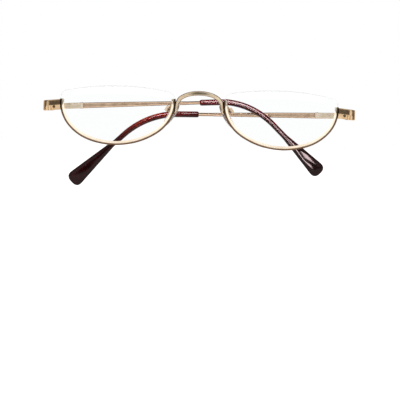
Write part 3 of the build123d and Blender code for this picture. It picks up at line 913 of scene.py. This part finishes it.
@dataclass
class Temple(Assembly):
    """One temple with its sleeve, which is swept here with crowned faces and a round mouth.

    The skin is how far the sleeve stays inside its solid. A section of 2 is an ellipse, and a
    higher one is squarer.
    """

    side: Side = Side.LEFT
    pin: Triple = (0.0628, 0.0097, -0.0009)
    core_middle: float = 0.00205
    bore: float = 0.00075
    height: float = 0.0026
    thickness: float = 0.0026
    waist: float = 0.00235
    flare_radius: float = 0.012
    flare_angle: float = radians(6.1)
    end_length: float = 0.0034
    end_blunt: float = 2.5
    mouth_reach: float = 0.0009
    mouth_drop: float = 0.0005
    skin: float = 0.00001
    crown_back: float = 0.0071
    crown_fall: float = 0.00038
    crown_dip: float = 0.00012
    crown_dip_reach: float = 0.009
    lean_reach: float = 0.006
    bore_section: float = 2.0
    round_section: float = 2.25
    paddle_section: float = 3.0
    spokes: int = 48
    mouth_rings: int = 5
    stations: int = 72
    end_rings: int = 14
    bore_rings: int = 36
    crease: float = radians(60)

    @property
    def adjusted(self) -> Adjustment:
        """This side's adjustment."""
        return adjustments[self.side]

    def centre(self, place: float) -> tuple[Vector, Vector]:
        """The core's middle line at a place along the temple.

        Args:
            place: The length from the pin.

        Returns:
            The point and the direction, each as along, up in the temple's own plane.
        """
        fit = self.adjusted
        turn = fit.turned(place)
        along = min(place, fit.bend_start) + fit.bend_radius * sin(turn)
        point = Vector((along, -fit.bend_radius * (1 - cos(turn))))
        way = Vector((cos(turn), -sin(turn)))
        return point + way * max(0.0, place - fit.bend_end), way

    def half_height(self, place: float) -> float:
        """Half the sleeve's height, before its blunt end.

        Args:
            place: The length from the pin.

        Returns:
            The half height.
        """
        fit = self.adjusted
        turn = fit.turned(place)
        if turn < fit.bend_angle:
            bent = cos(fit.bend_angle)
            narrowing = (self.waist - self.height * bent) / (1 - bent) / 2
            return narrowing * (1 - cos(turn)) + self.height / 2 * cos(turn)
        beyond = max(0.0, place - fit.flare_start)
        arc = self.flare_radius * sin(self.flare_angle)
        if beyond < arc:
            return self.waist / 2 + self.flare_radius - sqrt(self.flare_radius**2 - beyond**2)
        widened = self.waist / 2 + self.flare_radius * (1 - cos(self.flare_angle))
        return widened + (beyond - arc) * tan(self.flare_angle)

    def half_depth(self, place: float) -> float:
        """Half the sleeve's thickness: dipped a little before the paddle's end, which it thins to.

        Args:
            place: The length from the pin.

        Returns:
            The half thickness.
        """
        past = place - (self.adjusted.length - self.crown_back)
        if past > 0:
            return self.thickness / 2 - self.skin - self.crown_fall * (past / self.crown_back) ** 2
        back = min(1.0, -past / self.crown_dip_reach)
        return self.thickness / 2 - self.skin - self.crown_dip * sin(pi * back) ** 2

    def lean(self, place: float) -> float:
        """How far the sleeve's face leans up at a place, which is nothing before the paddle."""
        share = max(0.0, min(1.0, (place - self.adjusted.flare_start) / self.lean_reach))
        return self.adjusted.lean * share * share * (3 - 2 * share)

    def frame_axes(self) -> tuple[Vector, Vector, Vector, Vector]:
        """The folded temple's own frame.

        Returns:
            The pin's middle, and the ways along the temple, up the hinge and away from the lenses.
        """
        fit = self.adjusted
        level = cos(fit.fold)
        along = Vector((-cos(fit.rise) * level, sin(fit.fold), sin(fit.rise) * level))
        up = Vector((sin(fit.rise), 0, cos(fit.rise)))
        out = along.cross(up)
        flip = Matrix.Diagonal((self.side.sign, 1, 1))
        return flip @ Vector(self.pin), flip @ along, flip @ up, flip @ out

    def ring(
        self, mesh: bmesh.types.BMesh, place: float, half_height: float, half_depth: float,
        power: float,
    ) -> list[bmesh.types.BMVert]:
        """A rounded section across the sleeve.

        Args:
            mesh: The mesh to add it to.
            place: Its length from the pin.
            half_height: Half its height.
            half_depth: Half its thickness.
            power: How square it is; 2 is an ellipse.

        Returns:
            Its points in order.
        """
        pin, along, up, out = self.frame_axes()
        point, way = self.centre(place)
        middle = pin + along * point.x + up * point.y + out * self.core_middle
        across = along * -way.y + up * way.x
        lean = self.lean(place)
        high = (across * cos(lean) + out * sin(lean)) * half_height
        deep = (out * cos(lean) - across * sin(lean)) * half_depth
        points = []
        for spoke in range(self.spokes):
            turn = 2 * pi * spoke / self.spokes
            reach = (abs(cos(turn)) ** power + abs(sin(turn)) ** power) ** (-1 / power)
            points.append(mesh.verts.new(middle + (high * cos(turn) + deep * sin(turn)) * reach))
        return points

    def sections(self) -> list[tuple[float, float, float, float]]:
        """The skin's sections, from the rounded mouth to the blunt end.

        Returns:
            The place, half height, half thickness and squareness of each.
        """
        fit = self.adjusted
        made = []
        for step in range(self.mouth_rings):
            turn = pi / 2 * step / self.mouth_rings
            place = fit.mouth + self.mouth_reach * (1 - cos(turn))
            shrink = self.mouth_drop * (1 - sin(turn))
            half = self.half_height(place) - self.skin - shrink
            made.append((place, half, self.half_depth(place) - shrink, self.round_section))
        body_start = fit.mouth + self.mouth_reach
        body_end = fit.length - self.end_length
        step = (body_end - body_start) / self.stations
        places = [body_start + step * station for station in range(self.stations)]
        for ring in range(self.end_rings + 1):
            run = sin(pi / 2 * ring / self.end_rings)
            places.append(body_end + (self.end_length - self.skin) * run)
        widening = self.half_height(fit.length) - self.waist / 2
        for place in places:
            half = self.half_height(place) - self.skin
            spread = max(0.0, half - self.waist / 2) / widening
            power = self.round_section + (self.paddle_section - self.round_section) * spread
            run = max(0.0, place - body_end) / self.end_length
            share = (1 - run**self.end_blunt) ** (1 / self.end_blunt)
            made.append((place, half * share, self.half_depth(place) * share, power))
        return made

    def sleeve(self) -> bpy.types.Object:
        """The sleeve: its skin, round mouth and bore.

        Returns:
            The sleeve's object.
        """
        fit = self.adjusted
        mesh = bmesh.new()
        skin = [self.ring(mesh, *section) for section in self.sections()]
        bore = []
        for step in range(self.bore_rings):
            place = fit.mouth + (fit.core_end - fit.mouth) * step / (self.bore_rings - 1)
            bore.append(self.ring(mesh, place, self.bore, self.bore, self.bore_section))
        chain = [*reversed(bore), *skin]
        for first, second in zip(chain, chain[1:]):
            for spoke in range(self.spokes):
                after = (spoke + 1) % self.spokes
                mesh.faces.new((first[spoke], first[after], second[after], second[spoke]))
        mesh.faces.new(chain[0])
        mesh.faces.new(list(reversed(chain[-1])))
        bmesh.ops.recalc_face_normals(mesh, faces=mesh.faces)
        sleeve = formed(self.side.node("moulded_sleeve"), mesh)
        sleeve.data.shade_smooth()
        sleeve.data.set_sharp_from_angle(angle=self.crease)
        return sleeve

    def build(self) -> None:
        """Dress the temple, and make its sleeve."""
        self.keep(self.side.node("temple"), temple_gold)
        body = self.side.node("temple")
        self.stand_in(self.sleeve(), burgundy, body, self.side.node("temple_tip"))


@dataclass
class SpringHinge(Assembly):
    """The sprung hinge of one side."""

    side: Side = Side.LEFT

    def coil(self) -> None:
        """Copy the spring's mesh, and let it ride with the carriage."""
        node = self.side.node("hinge_spring")
        coil = placed(self.side.node("coil_spring"), frame["nodes"][node].data.copy())
        self.stand_in(coil, spring_wire, self.side.node("carriage"), node)
        along = Temple(side=self.side).frame_axes()[1]
        name = self.side.node("spring_slide")
        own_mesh(coil)

    def build(self) -> None:
        """Dress the hinge's pieces."""
        self.keep(self.side.node("carriage"), champagne_block)
        self.keep(self.side.node("spring_rod"), spring_wire)
        self.coil()
        self.keep(self.side.node("spring_stop"), spring_wire)
        self.keep(self.side.node("spring_housing"), housing_gold)


@dataclass
class NosePad(Assembly):
    """One nose pad: arm, box, screw and core, with the soft pad built new.

    The pad is narrower towards its upper end. Its face is crowned and slightly dished, and its
    back has a boss where the core's stem comes out, above the pad's middle.
    """

    side: Side = Side.LEFT
    length: float = 0.0119
    width: float = 0.0053
    narrowing: float = 0.1
    face_crown: float = 0.00098
    face_power: float = 2.6
    face_dish: float = 0.1
    back_crown: float = 0.00092
    back_power: float = 4.5
    boss_height: float = 0.0004
    boss_reach: float = 0.0011
    stem_above: float = 0.0013
    splay: float = radians(28.0)
    lean: float = radians(33.7)
    rings: int = 14
    spokes: int = 56

    def axes(self) -> tuple[Vector, Vector, Vector, Vector]:
        """The pad's own frame.

        Returns:
            Its middle, and the ways down it, across it and towards the nose.
        """
        low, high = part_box(self.side.node("nose_pad"))
        sign = self.side.sign
        down = Vector((sign * sin(self.lean), 0, -cos(self.lean)))
        inward = Vector((-sign * cos(self.lean), 0, -sin(self.lean)))
        nose = inward * cos(self.splay) + Vector((0, sin(self.splay), 0))
        return (low + high) / 2, down, nose.cross(down), nose

    def height(self, share: float, along: float, across: float, front: bool) -> float:
        """How far the pad's skin stands from its middle sheet.

        Args:
            share: How far out from the middle, from 0 to 1.
            along: The place down the pad.
            across: The place across it.
            front: True for the face on the nose.

        Returns:
            The height.
        """
        if front:
            crown = sqrt(max(0.0, 1 - share**self.face_power))
            return self.face_crown * crown * (1 - self.face_dish * share * share)
        crown = sqrt(max(0.0, 1 - share**self.back_power))
        from_stem = ((along + self.stem_above) ** 2 + across**2) / self.boss_reach**2
        boss = self.boss_height / (1 + from_stem**2)
        return -(self.back_crown * crown + boss * (1 - share))

    def loop(self, mesh: bmesh.types.BMesh, share: float, front: bool) -> list[bmesh.types.BMVert]:
        """A ring of points on the pad's skin.

        Args:
            mesh: The mesh to add it to.
            share: How far out from the middle it lies; 1 is the rim.
            front: True for the face on the nose.

        Returns:
            Its points, from the lower end round.
        """
        middle, down, sideways, nose = self.axes()
        points = []
        for spoke in range(self.spokes):
            angle = 2 * pi * spoke / self.spokes
            narrowed = 1 + self.narrowing * (cos(angle) - 1) / 2
            along = share * self.length / 2 * cos(angle)
            across = share * self.width / 2 * sin(angle) * narrowed
            lift = nose * self.height(share, along, across, front)
            points.append(mesh.verts.new(middle + down * along + sideways * across + lift))
        return points

    def soft_pad(self) -> bpy.types.Object:
        """The crowned pad, with its boss.

        Returns:
            The pad's object.
        """
        middle, _, _, nose = self.axes()
        shares = [sin(pi / 2 * ring / self.rings) for ring in range(1, self.rings)]
        mesh = bmesh.new()
        skins = []
        for front in (True, False):
            hub = mesh.verts.new(middle + nose * self.height(0.0, 0.0, 0.0, front))
            skins.append((hub, [self.loop(mesh, share, front) for share in shares]))
        rim = self.loop(mesh, 1.0, True)
        for hub, loops in skins:
            for spoke in range(self.spokes):
                after = (spoke + 1) % self.spokes
                mesh.faces.new((hub, loops[0][spoke], loops[0][after]))
                for inner, outer in zip(loops, [*loops[1:], rim]):
                    mesh.faces.new((inner[spoke], outer[spoke], outer[after], inner[after]))
        bmesh.ops.recalc_face_normals(mesh, faces=mesh.faces)
        pad = formed(self.side.node("soft_pad"), mesh)
        pad.data.shade_smooth()
        rounder = pad.modifiers.new("rounder", "SUBSURF")
        rounder.levels = rounder.render_levels = 1
        return pad

    def build(self) -> None:
        """Dress the metal pieces and the core, and make the soft pad."""
        self.keep(self.side.node("pad_arm"), champagne)
        self.keep(self.side.node("pad_box"), pad_box_gold)
        self.keep(self.side.node("pad_screw"), screw_gold)
        self.keep(self.side.node("pad_core"), hard_core)
        body = self.side.node("pad")
        self.stand_in(self.soft_pad(), silicone, body, self.side.node("nose_pad"))


@dataclass(frozen=True)
class SoftBox:
    """A rectangular lamp that faces the object, with its place, its size and its watts.

    One that names sleeves shows in their polish and lights nothing else. One that names none
    lights the whole object, and shows in no polish.
    """

    name: str
    place: Triple
    size: Pair
    power: float
    shows_in: tuple[Side, ...] = ()

    def hang(self) -> None:
        """Make the lamp, once the sleeves that it shows in are there."""
        light = bpy.data.lights.new(self.name, "AREA")
        light.shape = "RECTANGLE"
        light.size, light.size_y = self.size
        light.energy = self.power
        box = placed(self.name, light)
        box.location = self.place
        box.rotation_euler = Vector(self.place).to_track_quat("Z", "Y").to_euler()
        box.visible_camera = False
        box.visible_glossy = bool(self.shows_in)
        box.visible_diffuse = not self.shows_in
        if self.shows_in:
            held = bpy.data.collections.new(f"{self.name}_shows_in")
            for side in self.shows_in:
                held.objects.link(bpy.data.objects[side.node("moulded_sleeve")])
            box.light_linking.receiver_collection = held


soft_boxes = (
    SoftBox("overhead_box", (-0.12, -0.55, 0.75), (0.6, 0.4), 9.0),
    SoftBox("strip_box", (0.015, -0.38, 0.21), (0.31, 0.36), 17.0, (Side.RIGHT,)),
    SoftBox("far_strip_box", (0.0, -0.38, 0.235), (0.28, 0.26), 6.5, (Side.LEFT,)),
    SoftBox("low_box", (0.03, -0.14, -0.0265), (0.07, 0.013), 0.16, (Side.RIGHT,)),
    SoftBox("side_box", (0.75, -0.6, 0.3), (0.3, 0.5), 2.0),
)


@dataclass
class Studio:
    """Floor, lamps, surroundings and camera.

    A surface mirrors the floor as white behind sheet_span, and dark before it. The other spans
    are parts of a direction: behind and before the object along Y, and up or aside of it.
    object_px is where the object's origin lies in the image.
    """

    floor_reach: float = 6.0
    floor_grain: Pattern = Pattern((90.0, 90.0, 90.0))
    floor_tones: tuple[Tone, Tone] = ((0.4, 0.4, 0.4), (0.42, 0.42, 0.415))
    floor_glow: float = 0.98
    floor_mirrored: Tone = (0.12, 0.12, 0.12)
    sheet_span: Pair = (-0.15, -0.05)
    behind_span: Pair = (0.25, 0.6)
    behind_light: Pair = (0.14, 1.0)
    before_span: Pair = (-0.6, -0.35)
    around_span: Pair = (0.14, 0.34)
    around_light: Pair = (0.08, 1.2)
    fill_light: float = 0.5
    camera_distance: float = 1.5
    camera_drop: float = 0.011
    clip: Pair = (0.05, 50.0)
    roll: float = radians(1.85)
    sensor: float = 36.0
    frame_width: float = 0.168
    object_px: Pair = (199.3, 109.0)
    image_px: float = 400.0

    def floor(self) -> None:
        """A plain pale floor that reads white and keeps the object's shadow."""
        mesh = bmesh.new()
        bmesh.ops.create_grid(mesh, x_segments=2, y_segments=2, size=self.floor_reach)
        floor = formed("floor", mesh)
        floor.location.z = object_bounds()[0].z
        book = Recipe("pale_floor")
        tone = book.blend(book.noise(self.floor_grain), *self.floor_tones)
        lit = book.node("ShaderNodeBsdfDiffuse", links={"Color": tone})
        glow = book.node("ShaderNodeEmission", {"Color": (1, 1, 1, 1), "Strength": self.floor_glow})
        white = book.node("ShaderNodeAddShader", links={0: lit.outputs[0], 1: glow.outputs[0]})
        plain = book.node("ShaderNodeBsdfDiffuse", {"Color": (*self.floor_mirrored, 1)})
        path = book.node("ShaderNodeLightPath")
        sheet = book.span(book.part("Object", "Y"), self.sheet_span)
        mirrored = book.math("MULTIPLY", path.outputs["Is Glossy Ray"], sheet)
        book.end(book.mix(book.math("MAXIMUM", book.straight(path), mirrored), plain, white))
        floor.data.materials.append(book.material)
        floor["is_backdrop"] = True

    def surroundings(self) -> None:
        """A world that looks white, lights softly, and is a darker studio in a mirror."""
        world = bpy.data.worlds.new("studio")
        bpy.context.scene.world = world
        world.use_nodes = True
        book = Book(world.node_tree, "ShaderNodeOutputWorld")
        behind = book.span(book.part("Generated", "Y"), self.behind_span, self.behind_light)
        before = book.span(book.part("Generated", "Y"), self.before_span, (1.0, 0.0))
        aside = book.math("ABSOLUTE", book.part("Generated", "X"))
        beside = book.span(aside, self.around_span, self.around_light)
        above = book.span(book.part("Generated", "Z"), self.around_span, self.around_light)
        shown = book.math("MULTIPLY", before, book.math("MAXIMUM", above, beside))
        path = book.node("ShaderNodeLightPath")
        colour = {"Color": (1, 1, 1, 1)}
        plain = book.node("ShaderNodeBackground", {**colour, "Strength": self.fill_light})
        white = book.node("ShaderNodeBackground", {**colour, "Strength": 1.0})
        strength = {"Strength": book.math("MAXIMUM", behind, shown)}
        mirror = book.node("ShaderNodeBackground", colour, strength)
        was_mirrored = book.math("GREATER_THAN", path.outputs["Glossy Depth"], book.one_turn)
        studio = book.mix(was_mirrored, plain, mirror)
        book.end(book.mix(book.straight(path), studio, white))

    def camera(self) -> None:
        """The photograph's view: level, straight from the front, turned a little about its axis."""
        up = Vector((-sin(self.roll), 0, cos(self.roll)))
        right = Vector((cos(self.roll), 0, sin(self.roll)))
        back = right.cross(up)
        lens = bpy.data.cameras.new("camera")
        lens.sensor_width = self.sensor
        lens.lens = self.sensor * self.camera_distance / self.frame_width
        lens.clip_start, lens.clip_end = self.clip
        aside, below = (self.image_px / 2 - place for place in self.object_px)
        lens.shift_x = aside / self.image_px
        lens.shift_y = self.camera_drop / self.frame_width - below / self.image_px
        eye = placed("camera", lens)
        turned = Matrix((right, up, back)).transposed().to_4x4()
        place = back * self.camera_distance - up * self.camera_drop
        eye.matrix_world = Matrix.Translation(place) @ turned
        bpy.context.scene.camera = eye

    def build(self) -> None:
        """Set up the floor, the lights and the camera."""
        self.floor()
        self.surroundings()
        for box in soft_boxes:
            box.hang()
        self.camera()


def main() -> None:
    """Build and report everything in order."""
    logging.basicConfig(level=logging.INFO, format="%(message)s")
    bpy.context.scene.view_settings.view_transform = "Standard"
    assemblies: list[Assembly] = [Front(), Glazing()]
    for side in Side:
        assemblies += [kind(side=side) for kind in (Eyewire, SpringHinge, Temple, NosePad)]
    for assembly in assemblies:
        assembly.build()
        assembly.report()
    Studio().build()


if __name__ == "__main__":
    main()
